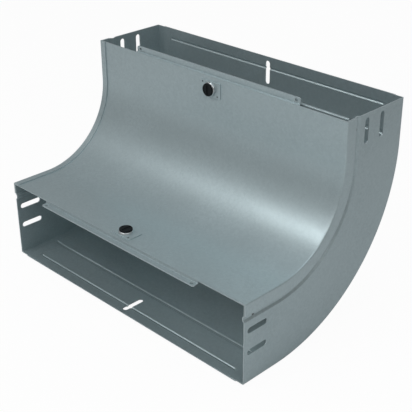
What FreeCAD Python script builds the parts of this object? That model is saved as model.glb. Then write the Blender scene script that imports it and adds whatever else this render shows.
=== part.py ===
import FreeCAD, Part
import math
import os

import Sketcher

# Vertical inside bend of closed sheet-metal cable trunking, in millimetres.
# The origin is the middle of the front mouth's lower edge: x runs across the duct,
# y runs into it, z is up. The duct enters along y, turns 90 degrees and leaves upwards.

SIZES = {
    "duct_width": 400.0,
    "wall_height": 100.0,
    "end_length": 52.0,
    "rim_radius": 100.0,
    "base_gauge": 1.25,
    "wall_gauge": 1.25,
    "cover_gauge": 1.25,
    "rim_gauge": 1.25,
    "base_margin": 12.0,
    "wall_foot": 22.0,
    "wall_groove_low": 79.5,
    "wall_groove_high": 87.0,
    "wall_groove_depth": 2.2,
    "slot_length": 30.0,
    "slot_width": 7.0,
    "slot_inset": 5.0,
    "wall_slot_low": 40.0,
    "wall_slot_high": 67.0,
    "end_bead_place": 14.25,
    "end_bead_width": 3.5,
    "end_bead_depth": 0.8,
    "end_bead_half_length": 175.5,
    "inner_bead_before_bend": 3.7,
    "inner_bead_width": 6.0,
    "inner_bead_depth": 1.2,
    "cover_side_clearance": 0.25,
    "rim_lap": 8.0,
    "rim_drop": 15.0,
    "strip_length": 266.0,
    "strip_gauge": 1.25,
    "strip_step": 2.4,
    "strip_reach": 7.4,
    "strip_step_start": 1.0,
    "strip_root": 27.0,
    "strip_corner_radius": 3.0,
    "strip_hole_diameter": 4.0,
    "strip_hole_from_end": 6.0,
    "strip_hole_from_edge": 3.9,
    "latch_inset": 15.0,
    "plate_width": 33.0,
    "plate_depth": 20.0,
    "plate_gauge": 1.25,
    "weld_mark_across": 12.0,
    "weld_mark_along": 7.0,
    "weld_mark_diameter": 3.0,
    "weld_mark_depth": 0.6,
    "collar_diameter": 17.5,
    "collar_height": 2.7,
    "neck_side": 10.0,
    "neck_length": 6.0,
    "fit_clearance": 0.05,
    "clip_side": 16.0,
    "clip_gauge": 1.2,
    "cap_diameter": 16.5,
    "cap_height": 2.2,
    "cap_edge": 0.5,
    "cap_clearance": 0.1,
    "cap_slot_width": 2.4,
    "cap_slot_length": 12.0,
    "cap_slot_depth": 1.2,
    "spindle_diameter": 6.0,
    "spindle_square": 4.2,
    "spindle_stud_diameter": 4.0,
    "spindle_stud_length": 4.2,
    "cam_gauge": 1.8,
    "cam_width": 6.0,
    "cam_length": 19.0,
    "cam_clearance": 0.3,
    "nut_across_flats": 7.0,
    "nut_height": 3.2,
    "keeper_drop": 5.75,
    "keeper_gauge": 1.25,
    "keeper_depth": 26.25,
    "keeper_front_setback": 8.5,
    "keeper_top_setback": 0.25,
    "keeper_past_latch": 35.0,
    "keeper_lip": 8.0,
    "keeper_tab": 14.0,
    "keeper_slot_width": 7.5,
    "keeper_slot_length": 24.0,
    "keeper_rivet_diameter": 3.5,
    "keeper_rivet_bore": 2.4,
    "keeper_rivet_head": 6.0,
    "keeper_rivet_head_height": 0.8,
}

MITRE = math.tan(math.radians(22.5))
BEAD_TAPER = 40.0


class Length:
    """A size in millimetres together with the sheet expression that gives it."""

    def __init__(self, text, value):
        self.text = text
        self.value = value

    def _join(self, sign, other, value):
        return Length("(%s %s %s)" % (self.text, sign, other.text), value)

    def __add__(self, other):
        other = length(other)
        return self._join("+", other, self.value + other.value)

    def __sub__(self, other):
        other = length(other)
        return self._join("-", other, self.value - other.value)

    def __mul__(self, factor):
        return Length("(%s * %.9g)" % (self.text, factor), self.value * factor)

    def __truediv__(self, divisor):
        return Length("(%s / %.9g)" % (self.text, divisor), self.value / divisor)

    def __neg__(self):
        return Length("(-1 * %s)" % self.text, -self.value)


def length(number):
    """Give a plain number the form of a Length; a Length comes back as it is."""
    if isinstance(number, Length):
        return number
    return Length("(%.9g)" % number, float(number))


def fill_sheet(sheet, sizes):
    """Write each size into its own cell, with its name as the cell's alias."""
    for row, (name, value) in enumerate(sizes.items(), start=1):
        sheet.set("A%d" % row, name)
        sheet.set("B%d" % row, "%g" % value)
        sheet.setAlias("B%d" % row, name)


doc = FreeCAD.newDocument("vertical_inside_bend")
sheet = doc.addObject("Spreadsheet::Sheet", "Sizes")
fill_sheet(sheet, SIZES)
doc.recompute()


def size(name):
    """The sheet's value for one named size."""
    return Length("Sizes.%s" % name, float(sheet.get(name)))


# Places that several pieces share

ORIGIN = length(0.0)
HALF_WIDTH = size("duct_width") / 2
WALL_TOP = size("wall_height")
SHEET_TOP = WALL_TOP + size("cover_gauge")
RIM_TOP = SHEET_TOP + size("rim_gauge")
ARC_HEIGHT = RIM_TOP + size("rim_radius")
ARC_START = size("end_length")
REACH = ARC_START + ARC_HEIGHT
BASE_HALF = HALF_WIDTH - size("base_margin")
STRIP_BOTTOM = WALL_TOP - size("strip_gauge")
PLATE_TOP = SHEET_TOP + size("plate_gauge")
COLLAR_TOP = PLATE_TOP + size("collar_height")
CAP_BOTTOM = COLLAR_TOP + size("cap_clearance")
CAP_TOP = CAP_BOTTOM + size("cap_height")
KEEPER_TOP = WALL_TOP - size("keeper_drop")
KEEPER_BOTTOM = KEEPER_TOP - size("keeper_gauge")
CAM_TOP = KEEPER_BOTTOM - size("cam_clearance")
CAM_BOTTOM = CAM_TOP - size("cam_gauge")
GROOVE_MIDDLE = (size("wall_groove_low") + size("wall_groove_high")) / 2
GROOVE_FLOOR = HALF_WIDTH - size("wall_groove_depth")
TAB_OUTER = GROOVE_FLOOR - size("wall_gauge")
TAB_INNER = TAB_OUTER - size("keeper_gauge")
NECK_HALF = size("neck_side") / 2
SPINDLE_RADIUS = size("spindle_diameter") / 2


# Helpers for bodies, sketches and features

def new_body(name):
    body = doc.addObject("PartDesign::Body", name)
    body.Label = name
    return body


def bind(thing, path, value):
    """Tie one property of a feature to a Length."""
    thing.setExpression(path, length(value).text)


def origin_plane(body, role):
    return [plane for plane in body.Origin.OriginFeatures if plane.Role == role][0]


def new_sketch(body, name, role, offset=None):
    """A sketch on one of the body's origin planes, moved along its normal if asked."""
    sketch = body.newObject("Sketcher::SketchObject", name)
    sketch.AttachmentSupport = (origin_plane(body, role), [""])
    sketch.MapMode = "FlatFace"
    if offset is not None:
        sketch.AttachmentOffset = FreeCAD.Placement(
            FreeCAD.Vector(0, 0, offset.value), FreeCAD.Rotation())
        bind(sketch, "AttachmentOffset.Base.z", offset)
    return sketch


def fix_point(sketch, curve, end, x, y):
    """Hold a point of a curve at a place measured from the sketch's origin."""
    for kind, place in (("DistanceX", x), ("DistanceY", y)):
        row = sketch.addConstraint(
            Sketcher.Constraint(kind, -1, 1, curve, end, place.value))
        bind(sketch, "Constraints[%d]" % row, place)


def fix_centre(sketch, curve, centre, chord):
    """Hold an arc's centre along the direction that its chord leaves free."""
    across = abs(chord.x) < abs(chord.y)
    kind, place = ("DistanceX", centre[0]) if across else ("DistanceY", centre[1])
    row = sketch.addConstraint(
        Sketcher.Constraint(kind, -1, 1, curve, 3, place.value))
    bind(sketch, "Constraints[%d]" % row, place)


def draw_curve(sketch, start, end, centre, closed_ends):
    """Add a line, or an arc about a centre, and say which ends are its start and end."""
    first = FreeCAD.Vector(start[0].value, start[1].value, 0)
    last = FreeCAD.Vector(end[0].value, end[1].value, 0)
    if centre is None:
        closed_ends.append((sketch.addGeometry(Part.LineSegment(first, last), False), 1, 2))
        return
    middle = FreeCAD.Vector(centre[0].value, centre[1].value, 0)
    arm_a = first - middle
    arm_b = last - middle
    turn = arm_a.cross(arm_b).z
    if abs(turn) < 1e-6:
        turn = 1.0
    if turn < 0:
        arm_a, arm_b = arm_b, arm_a
    angle_a = math.atan2(arm_a.y, arm_a.x)
    angle_b = math.atan2(arm_b.y, arm_b.x)
    circle = Part.Circle(middle, FreeCAD.Vector(0, 0, 1), arm_a.Length)
    curve = sketch.addGeometry(Part.ArcOfCircle(circle, angle_a, angle_b), False)
    closed_ends.append((curve, 1, 2) if turn > 0 else (curve, 2, 1))


def outline(sketch, corners, arcs=None):
    """A closed outline through its corners; arcs maps a side's number to its centre."""
    corners = [(length(x), length(y)) for x, y in corners]
    arcs = arcs or {}
    ends = []
    for number, start in enumerate(corners):
        end = corners[(number + 1) % len(corners)]
        draw_curve(sketch, start, end, arcs.get(number), ends)
    for number, start in enumerate(corners):
        curve, first, last = ends[number]
        after, after_first, _ = ends[(number + 1) % len(corners)]
        sketch.addConstraint(
            Sketcher.Constraint("Coincident", curve, last, after, after_first))
        fix_point(sketch, curve, first, start[0], start[1])
    for number, centre in arcs.items():
        start, end = corners[number], corners[(number + 1) % len(corners)]
        chord = FreeCAD.Vector(
            end[0].value - start[0].value, end[1].value - start[1].value, 0)
        fix_centre(sketch, ends[number][0], centre, chord)


def rectangle(sketch, left, right, low, high):
    outline(sketch, [(left, low), (right, low), (right, high), (left, high)])


def circle(sketch, x, y, diameter):
    x, y = length(x), length(y)
    centre = FreeCAD.Vector(x.value, y.value, 0)
    normal = FreeCAD.Vector(0, 0, 1)
    curve = sketch.addGeometry(Part.Circle(centre, normal, diameter.value / 2), False)
    fix_point(sketch, curve, 3, x, y)
    row = sketch.addConstraint(Sketcher.Constraint("Diameter", curve, diameter.value))
    bind(sketch, "Constraints[%d]" % row, diameter)


def obround(sketch, x, y, long_size, wide_size, along_x):
    """A slot outline with round ends, centred on x, y."""
    x, y = length(x), length(y)
    run = (long_size - wide_size) / 2
    half = wide_size / 2
    if along_x:
        corners = [(x - run, y - half), (x + run, y - half),
                   (x + run, y + half), (x - run, y + half)]
        arcs = {1: (x + run, y), 3: (x - run, y)}
    else:
        corners = [(x + half, y - run), (x + half, y + run),
                   (x - half, y + run), (x - half, y - run)]
        arcs = {1: (x, y + run), 3: (x, y - run)}
    outline(sketch, corners, arcs)


def pad(body, sketch, height, reverse=False, both_ways=False, taper=0.0):
    feature = body.newObject("PartDesign::Pad", sketch.Name + "_pad")
    feature.Profile = sketch
    feature.Length = height.value
    bind(feature, "Length", height)
    feature.Reversed = reverse
    feature.Midplane = both_ways
    feature.TaperAngle = taper
    return feature


def pocket(body, sketch, depth, both_ways=False, taper=0.0):
    feature = body.newObject("PartDesign::Pocket", sketch.Name + "_pocket")
    feature.Profile = sketch
    feature.Length = depth.value
    bind(feature, "Length", depth)
    feature.Midplane = both_ways
    feature.TaperAngle = taper
    return feature


def revolve(body, sketch, axis):
    feature = body.newObject("PartDesign::Revolution", sketch.Name + "_turned")
    feature.Profile = sketch
    feature.ReferenceAxis = (sketch, [axis])
    feature.Angle = 360.0
    return feature


def diagonal(body):
    """A line in the duct's side view about which front and top ends match."""
    sketch = new_sketch(body, body.Name + "_diagonal", "YZ_Plane")
    start = FreeCAD.Vector(0, REACH.value, 0)
    end = FreeCAD.Vector(REACH.value, 0, 0)
    sketch.addGeometry(Part.LineSegment(start, end), True)
    fix_point(sketch, 0, 1, ORIGIN, REACH)
    fix_point(sketch, 0, 2, REACH, ORIGIN)
    return sketch


def repeat_at_top(body, features):
    """Give the top end the front end's features, mirrored about the diagonal."""
    line = diagonal(body)
    pattern = body.newObject("PartDesign::Mirrored", body.Name + "_top_end")
    pattern.Originals = features
    pattern.MirrorPlane = (line, ["Axis0"])
    body.Tip = pattern


def round_edges(body, name, radius, wanted):
    """Fillet the edges of the body's tip whose two ends satisfy a test."""
    doc.recompute()
    tip = body.Tip
    names = []
    for number, edge in enumerate(tip.Shape.Edges, start=1):
        points = [vertex.Point for vertex in edge.Vertexes]
        if len(points) == 2 and wanted(points[0], points[1]):
            names.append("Edge%d" % number)
    feature = body.newObject("PartDesign::Fillet", name)
    feature.Base = (tip, names)
    feature.Radius = radius.value
    bind(feature, "Radius", radius)


def place(thing, end, inset, height=ORIGIN):
    """Put an end piece at the front mouth, or turned half a turn to the top mouth."""
    if end == "front":
        thing.Placement = FreeCAD.Placement(
            FreeCAD.Vector(0, inset.value, height.value), FreeCAD.Rotation())
        bind(thing, "Placement.Base.y", inset)
        bind(thing, "Placement.Base.z", height)
        return
    turn = FreeCAD.Rotation(FreeCAD.Vector(0, 1, -1), 180)
    across = REACH - height
    up = REACH - inset
    thing.Placement = FreeCAD.Placement(FreeCAD.Vector(0, across.value, up.value), turn)
    bind(thing, "Placement.Base.y", across)
    bind(thing, "Placement.Base.z", up)


def bend_band(sketch, low, high):
    """The side view of a sheet that follows the duct's bend between two heights."""
    centre = (ARC_START, ARC_HEIGHT)
    corners = [
        (ORIGIN, low), (ARC_START, low), (REACH - low, ARC_HEIGHT), (REACH - low, REACH),
        (REACH - high, REACH), (REACH - high, ARC_HEIGHT), (ARC_START, high), (ORIGIN, high),
    ]
    outline(sketch, corners, {1: centre, 5: centre})


def bend_path(body):
    """The duct's run at the height of its base: straight, quarter turn, straight."""
    sketch = new_sketch(body, body.Name + "_path", "YZ_Plane")
    corners = [(ORIGIN, ORIGIN), (ARC_START, ORIGIN), (REACH, ARC_HEIGHT), (REACH, REACH)]
    centres = [None, (ARC_START, ARC_HEIGHT), None]
    ends = []
    for number, centre in enumerate(centres):
        draw_curve(sketch, corners[number], corners[number + 1], centre, ends)
    for number, (curve, first, last) in enumerate(ends):
        fix_point(sketch, curve, first, *corners[number])
        if number:
            before, _, before_last = ends[number - 1]
            sketch.addConstraint(
                Sketcher.Constraint("Coincident", before, before_last, curve, first))
    fix_point(sketch, ends[-1][0], ends[-1][2], *corners[-1])
    chord = FreeCAD.Vector(1, 1, 0)
    fix_centre(sketch, ends[1][0], centres[1], chord)
    return sketch


def sweep(body, section, path):
    feature = body.newObject("PartDesign::AdditivePipe", body.Name + "_sweep")
    feature.Profile = section
    feature.Spine = (path, ["Edge1", "Edge2", "Edge3"])
    return feature


# The base: one sheet bent over the outside of the turn, with pressed beads and slots

def press_bead(body, name, place, long_size, wide_size, depth, round_ends):
    """Press a bead down through the base sheet, across the duct at a given place."""
    gauge = size("base_gauge")
    under = new_sketch(body, name + "_under", "XY_Plane")
    upper = new_sketch(body, name + "_upper", "XY_Plane", gauge)
    if round_ends:
        obround(under, ORIGIN, place, long_size + gauge, wide_size + gauge, True)
        obround(upper, ORIGIN, place, long_size, wide_size, True)
        bulge = pad(body, under, depth, reverse=True, taper=-BEAD_TAPER)
        return [bulge, pocket(body, upper, depth, taper=-BEAD_TAPER)]
    half = long_size / 2
    half_out = (wide_size + gauge) / 2
    rectangle(under, -half, half, place - half_out, place + half_out)
    rectangle(upper, -half, half, place - wide_size / 2, place + wide_size / 2)
    bulge = pad(body, under, depth, reverse=True)
    return [bulge, pocket(body, upper, depth)]


def make_base():
    body = new_body("base_sheet")
    side_view = new_sketch(body, "base_side_view", "YZ_Plane")
    bend_band(side_view, ORIGIN, size("base_gauge"))
    pad(body, side_view, BASE_HALF * 2, both_ways=True)
    features = press_bead(
        body, "base_end_bead", size("end_bead_place"), size("end_bead_half_length") * 2,
        size("end_bead_width"), size("end_bead_depth"), round_ends=True)
    features += press_bead(
        body, "base_inner_bead", ARC_START - size("inner_bead_before_bend"),
        BASE_HALF * 2, size("inner_bead_width"), size("inner_bead_depth"),
        round_ends=False)
    slot = new_sketch(body, "base_slot", "XY_Plane")
    middle = size("slot_inset") + size("slot_length") / 2
    obround(slot, ORIGIN, middle, size("slot_length"), size("slot_width"), False)
    features.append(pocket(body, slot, size("base_gauge") * 4, both_ways=True))
    repeat_at_top(body, features)
    return body


# The side walls: a folded section swept round the bend, with a pressed groove along it

def make_wall(name, side, holds_keepers):
    body = new_body(name)
    gauge = size("wall_gauge")
    low = size("base_gauge")
    depth = size("wall_groove_depth")
    mouth_low = size("wall_groove_low")
    mouth_high = size("wall_groove_high")
    mitre = gauge * MITRE
    inner = HALF_WIDTH - gauge
    ridge = inner - depth
    foot = HALF_WIDTH - size("wall_foot")
    corners = [
        (foot, low), (HALF_WIDTH, low),
        (HALF_WIDTH, mouth_low), (GROOVE_FLOOR, mouth_low + depth),
        (GROOVE_FLOOR, mouth_high - depth), (HALF_WIDTH, mouth_high),
        (HALF_WIDTH, WALL_TOP), (inner, WALL_TOP),
        (inner, mouth_high + mitre), (ridge, mouth_high - depth + mitre),
        (ridge, mouth_low + depth - mitre), (inner, mouth_low - mitre),
        (inner, low + gauge), (foot, low + gauge),
    ]
    section = new_sketch(body, name + "_section", "XZ_Plane")
    outline(section, [(x * side, z) for x, z in corners])
    sweep(body, section, bend_path(body))
    slots = new_sketch(body, name + "_slots", "YZ_Plane", HALF_WIDTH * side)
    middle = size("slot_inset") + size("slot_length") / 2
    for height in (size("wall_slot_low"), size("wall_slot_high")):
        obround(slots, middle, height, size("slot_length"), size("slot_width"), True)
    features = [pocket(body, slots, gauge * 4, both_ways=True)]
    if holds_keepers:
        hole = new_sketch(body, name + "_rivet_hole", "YZ_Plane", GROOVE_FLOOR * side)
        hole_diameter = size("keeper_rivet_diameter") + size("fit_clearance") * 2
        circle(hole, size("latch_inset"), GROOVE_MIDDLE, hole_diameter)
        features.append(pocket(body, hole, gauge * 4, both_ways=True))
    repeat_at_top(body, features)
    return body


# The cover: a curved sheet on the walls' edges, with a rim angle along each side

def make_cover():
    body = new_body("cover_sheet")
    side_view = new_sketch(body, "cover_side_view", "YZ_Plane")
    bend_band(side_view, WALL_TOP, SHEET_TOP)
    pad(body, side_view, HALF_WIDTH * 2, both_ways=True)
    hole = new_sketch(body, "cover_neck_hole", "XY_Plane", SHEET_TOP)
    neck_hole(hole, size("latch_inset"))
    cut = pocket(body, hole, size("cover_gauge") * 2)
    repeat_at_top(body, [cut])
    return body


def neck_hole(sketch, middle):
    """The square hole that the latch collar's neck passes through."""
    half = NECK_HALF + size("fit_clearance")
    rectangle(sketch, -half, half, middle - half, middle + half)


def make_rim(name, side):
    body = new_body(name)
    inner = HALF_WIDTH + size("cover_side_clearance")
    outer = inner + size("rim_gauge")
    lap = HALF_WIDTH - size("rim_lap")
    low = RIM_TOP - size("rim_drop")
    corners = [
        (outer, low), (outer, RIM_TOP), (lap, RIM_TOP),
        (lap, SHEET_TOP), (inner, SHEET_TOP), (inner, low),
    ]
    section = new_sketch(body, name + "_section", "XZ_Plane")
    outline(section, [(x * side, z) for x, z in corners])
    sweep(body, section, bend_path(body))
    return body


# The pieces at each end of the cover, modelled about the latch's own axis

def make_strip(end):
    body = new_body("joint_strip_" + end)
    gauge = size("strip_gauge")
    step = size("strip_step")
    outer = -size("strip_reach")
    start = size("strip_step_start")
    root = size("strip_root")
    mitre = gauge * MITRE
    low_top = WALL_TOP - step
    corners = [
        (outer, low_top - gauge), (start + mitre, low_top - gauge),
        (start + step + mitre, STRIP_BOTTOM), (root, STRIP_BOTTOM), (root, WALL_TOP),
        (start + step, WALL_TOP), (start, low_top), (outer, low_top),
    ]
    side_view = new_sketch(body, body.Name + "_side_view", "YZ_Plane")
    outline(side_view, corners)
    pad(body, side_view, size("strip_length"), both_ways=True)
    holes = new_sketch(body, body.Name + "_holes", "XY_Plane", WALL_TOP)
    neck_hole(holes, size("latch_inset"))
    hole_x = size("strip_length") / 2 - size("strip_hole_from_end")
    hole_y = outer + size("strip_hole_from_edge")
    for x in (hole_x, -hole_x):
        circle(holes, x, hole_y, size("strip_hole_diameter"))
    pocket(body, holes, step + gauge * 2)

    def tongue_corner(first, last):
        upright = abs(first.x - last.x) + abs(first.y - last.y) < 1e-6
        return upright and abs(first.y - outer.value) < 1e-6

    round_edges(body, body.Name + "_corners", size("strip_corner_radius"), tongue_corner)
    place(body, end, ORIGIN)
    return body


def make_plate(end):
    """The raised plate under the latch's collar, with two spot-weld marks."""
    body = new_body("latch_plate_" + end)
    sketch = new_sketch(body, body.Name + "_outline", "XY_Plane", SHEET_TOP)
    half_wide = size("plate_width") / 2
    half_deep = size("plate_depth") / 2
    rectangle(sketch, -half_wide, half_wide, -half_deep, half_deep)
    neck_hole(sketch, ORIGIN)
    pad(body, sketch, size("plate_gauge"))
    marks = new_sketch(body, body.Name + "_weld_marks", "XY_Plane", PLATE_TOP)
    for sign in (1, -1):
        across = size("weld_mark_across") * sign
        circle(marks, across, size("weld_mark_along") * -sign, size("weld_mark_diameter"))
    pocket(body, marks, size("weld_mark_depth"))
    place(body, end, size("latch_inset"))
    return body


def turned_piece(name, end, profile):
    """A piece turned about the latch's axis from its half section, radius and height."""
    body = new_body(name + "_" + end)
    section = new_sketch(body, body.Name + "_section", "XZ_Plane")
    outline(section, profile)
    revolve(body, section, "V_Axis")
    place(body, end, size("latch_inset"))
    return body


def make_collar(end):
    """A round collar on the plate, with a square neck that can't turn in its holes."""
    bore = SPINDLE_RADIUS + size("fit_clearance")
    outer = size("collar_diameter") / 2
    body = turned_piece("latch_collar", end, [
        (bore, PLATE_TOP), (outer, PLATE_TOP), (outer, COLLAR_TOP), (bore, COLLAR_TOP)])
    neck = new_sketch(body, body.Name + "_neck", "XY_Plane", PLATE_TOP)
    rectangle(neck, -NECK_HALF, NECK_HALF, -NECK_HALF, NECK_HALF)
    circle(neck, ORIGIN, ORIGIN, bore * 2)
    pad(body, neck, size("neck_length"), reverse=True)
    return body


def make_clip(end):
    """A flat spring clip pushed over the neck, against the joint strip."""
    body = new_body("latch_clip_" + end)
    sketch = new_sketch(body, body.Name + "_outline", "XY_Plane", STRIP_BOTTOM)
    half = size("clip_side") / 2
    rectangle(sketch, -half, half, -half, half)
    neck_hole(sketch, ORIGIN)
    pad(body, sketch, size("clip_gauge"), reverse=True)
    place(body, end, size("latch_inset"))
    return body


def make_cap(end):
    outer = size("cap_diameter") / 2
    edge = size("cap_edge")
    body = turned_piece("latch_cap", end, [
        (ORIGIN, CAP_BOTTOM), (outer, CAP_BOTTOM), (outer, CAP_TOP - edge),
        (outer - edge, CAP_TOP), (ORIGIN, CAP_TOP)])
    slot = new_sketch(body, body.Name + "_slot", "XY_Plane", CAP_TOP)
    half_wide = size("cap_slot_width") / 2
    half_long = size("cap_slot_length") / 2
    rectangle(slot, -half_wide, half_wide, -half_long, half_long)
    pocket(body, slot, size("cap_slot_depth"))
    return body


def make_spindle(end):
    stud = size("spindle_stud_diameter") / 2
    foot = CAM_BOTTOM - size("spindle_stud_length")
    body = turned_piece("latch_spindle", end, [
        (ORIGIN, foot), (stud, foot), (stud, CAM_BOTTOM), (stud, CAM_TOP),
        (SPINDLE_RADIUS, CAM_TOP), (SPINDLE_RADIUS, CAP_BOTTOM), (ORIGIN, CAP_BOTTOM)])
    square = new_sketch(body, body.Name + "_square", "XY_Plane", CAM_BOTTOM)
    half = size("spindle_square") / 2
    rectangle(square, -half, half, -half, half)
    pad(body, square, size("cam_gauge"))
    return body


def make_cam(end):
    body = new_body("latch_cam_" + end)
    sketch = new_sketch(body, body.Name + "_outline", "XY_Plane", CAM_BOTTOM)
    obround(sketch, ORIGIN, ORIGIN, size("cam_length"), size("cam_width"), False)
    half = size("spindle_square") / 2 + size("fit_clearance")
    rectangle(sketch, -half, half, -half, half)
    pad(body, sketch, size("cam_gauge"))
    place(body, end, size("latch_inset"))
    return body


def make_nut(end):
    body = new_body("latch_nut_" + end)
    sketch = new_sketch(body, body.Name + "_outline", "XY_Plane", CAM_BOTTOM)
    across = size("nut_across_flats")
    corners = []
    for number in range(6):
        angle = math.radians(60 * number)
        radius = across / (2 * math.cos(math.radians(30)))
        corners.append((radius * math.cos(angle), radius * math.sin(angle)))
    outline(sketch, corners)
    bore = size("spindle_stud_diameter") + size("fit_clearance") * 2
    circle(sketch, ORIGIN, ORIGIN, bore)
    pad(body, sketch, size("nut_height"), reverse=True)
    place(body, end, size("latch_inset"))
    return body


# The keepers: folded arms on the right wall that the latches' cams turn under

def make_keeper(end, side):
    body = new_body("keeper_arm_" + end)
    setback = size("keeper_%s_setback" % end) - size("latch_inset")
    rear = size("keeper_depth") - size("latch_inset")
    gauge = size("keeper_gauge")
    far_end = -size("keeper_past_latch")
    web = new_sketch(body, body.Name + "_web", "XY_Plane", KEEPER_BOTTOM)
    rectangle(web, far_end * side, TAB_OUTER * side, setback, rear)
    half_long = size("keeper_slot_length") / 2
    half_wide = size("keeper_slot_width") / 2
    rectangle(web, -half_long, half_long, -half_wide, half_wide)
    pad(body, web, gauge)
    lip = new_sketch(body, body.Name + "_lip", "XY_Plane", KEEPER_TOP)
    rectangle(lip, far_end * side, TAB_INNER * side, rear - gauge, rear)
    pad(body, lip, size("keeper_lip"), reverse=True)
    tab = new_sketch(body, body.Name + "_tab", "XY_Plane", KEEPER_TOP)
    rectangle(tab, TAB_INNER * side, TAB_OUTER * side, setback, rear)
    pad(body, tab, size("keeper_tab"), reverse=True)
    hole = new_sketch(body, body.Name + "_rivet_hole", "YZ_Plane", TAB_OUTER * side)
    hole_diameter = size("keeper_rivet_diameter") + size("fit_clearance") * 2
    circle(hole, ORIGIN, GROOVE_MIDDLE, hole_diameter)
    pocket(body, hole, gauge * 4, both_ways=True)
    place(body, end, size("latch_inset"))
    return body


def make_keeper_rivet(end, side):
    body = new_body("keeper_rivet_" + end)
    shank = size("keeper_rivet_diameter") / 2
    bore = size("keeper_rivet_bore") / 2
    head = size("keeper_rivet_head") / 2
    head_face = TAB_INNER - size("keeper_rivet_head_height")
    corners = [
        (head_face, ORIGIN), (head_face, head), (TAB_INNER, head), (TAB_INNER, shank),
        (GROOVE_FLOOR, shank), (GROOVE_FLOOR, bore), (TAB_OUTER, bore), (TAB_OUTER, ORIGIN),
    ]
    section = new_sketch(body, body.Name + "_section", "XZ_Plane")
    outline(section, [(x * side, z) for x, z in corners])
    revolve(body, section, "H_Axis")
    place(body, end, size("latch_inset"), GROOVE_MIDDLE)
    return body


# The whole bend

pieces = [
    make_base(),
    make_wall("side_wall_left", -1, holds_keepers=False),
    make_wall("side_wall_right", 1, holds_keepers=True),
    make_cover(),
    make_rim("cover_rim_left", -1),
    make_rim("cover_rim_right", 1),
]
for end, wall_side in (("front", 1), ("top", -1)):
    pieces += [
        make_strip(end), make_plate(end), make_collar(end), make_clip(end),
        make_cap(end), make_spindle(end), make_cam(end), make_nut(end),
        make_keeper(end, wall_side), make_keeper_rivet(end, wall_side),
    ]

doc.recompute()
for thing in doc.Objects:
    if "Invalid" in thing.State or "Error" in thing.State:
        raise RuntimeError("%s did not build: %s" % (thing.Name, thing.State))
for piece in pieces:
    if piece.Shape.isNull() or not piece.Shape.isValid():
        raise RuntimeError("%s has no valid shape" % piece.Label)

os.makedirs("parts", exist_ok=True)
for piece in pieces:
    piece.Shape.exportStep("parts/%s.step" % piece.Label)
    print(piece.Label, len(piece.Shape.Solids), round(piece.Shape.Volume, 1))
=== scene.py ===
import math

import bmesh
import bpy
import numpy as np
from bpy.props import FloatProperty, FloatVectorProperty, PointerProperty
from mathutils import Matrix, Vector


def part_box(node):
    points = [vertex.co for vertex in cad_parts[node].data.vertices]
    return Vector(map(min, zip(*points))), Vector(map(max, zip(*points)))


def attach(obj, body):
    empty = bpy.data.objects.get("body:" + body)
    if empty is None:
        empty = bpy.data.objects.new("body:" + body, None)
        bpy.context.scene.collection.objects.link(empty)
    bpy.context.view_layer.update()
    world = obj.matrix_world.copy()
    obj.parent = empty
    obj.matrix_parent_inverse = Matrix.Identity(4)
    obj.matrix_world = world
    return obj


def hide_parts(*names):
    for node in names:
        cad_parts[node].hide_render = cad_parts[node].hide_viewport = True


bl_info = {
    "name": "Vertical trunking bend",
    "version": (1, 0, 0),
    "blender": (4, 5, 0),
    "location": "3D View > Sidebar > Trunking",
    "description": "Sheet-metal looks for an upward bend of closed cable trunking",
    "category": "Object",
}

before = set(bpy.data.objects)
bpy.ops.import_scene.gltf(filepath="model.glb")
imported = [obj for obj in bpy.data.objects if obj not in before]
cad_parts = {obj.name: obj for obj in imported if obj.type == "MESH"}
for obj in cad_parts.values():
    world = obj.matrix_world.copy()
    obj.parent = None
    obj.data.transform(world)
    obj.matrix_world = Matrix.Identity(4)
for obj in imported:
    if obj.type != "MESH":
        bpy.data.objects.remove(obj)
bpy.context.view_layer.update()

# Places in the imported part. The duct's half width and its full reach, which is the same level
# and upright, are read from it. The others are its named sizes.
HALF_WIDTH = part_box("side_wall_right")[1].x
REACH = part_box("side_wall_right")[1].z
WALL_TOP = 0.1
RIM_TOP = WALL_TOP + 0.0025
STRAIGHT = 0.052
ARC_HEIGHT = REACH - STRAIGHT

# How far a cutter reaches past a sheet's face, and the gap round a part in its hole
THROUGH = 0.004
FIT_GAP = 0.00005


# Sizes and colours that a user would change

def linear(code):
    """A hex sRGB colour as linear red, green, blue and alpha."""
    part = np.array([int(code[i:i + 2], 16) for i in (0, 2, 4)]) / 255
    value = np.where(part <= 0.04045, part / 12.92, ((part + 0.055) / 1.055) ** 2.4)
    return (*value.tolist(), 1.0)


def distance(name, default):
    """A size in metres, held as a Blender length."""
    return FloatProperty(name=name, default=default, unit="LENGTH", min=0.0, precision=5)


def colour(name, code):
    """A surface colour, given as sRGB hex and held linear."""
    return FloatVectorProperty(
        name=name, default=linear(code), size=4, subtype="COLOR", min=0.0, max=1.0)


class TrunkingSheetSizes(bpy.types.PropertyGroup):
    """Sizes of the folded sheets."""

    gauge: distance("Thickness of every sheet", 0.00125)
    fold_radius: distance("Outside radius of a fold", 0.0016)
    edge_break: distance("Softening of the sheets' cut edges", 0.00012)
    cover_edge: distance("Rounding of the cover's deburred edges", 0.0004)
    base_margin: distance("From the wall's face to the base's edge", 0.012)
    wall_foot: distance("Width of the wall's inward foot", 0.022)
    foot_fade: distance("Run of the bead's end past the base's edge", 0.004)
    groove_low: distance("Height where the wall's groove starts", 0.0795)
    groove_high: distance("Height where the wall's groove ends", 0.087)
    groove_depth: distance("How far the groove is pressed in", 0.0022)
    slot_length: distance("Length of a coupling slot", 0.03)
    slot_width: distance("Width of a coupling slot", 0.007)
    slot_inset: distance("From the mouth to a slot's end", 0.005)
    slot_low: distance("Height of the wall's lower slot", 0.04)
    slot_high: distance("Height of the wall's upper slot", 0.067)
    rim_lap: distance("Width of the rim's leg on the cover", 0.008)
    rim_drop: distance("Height of the rim's leg beside the wall", 0.015)
    rim_clearance: distance("Gap between wall and rim", 0.00025)


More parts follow.
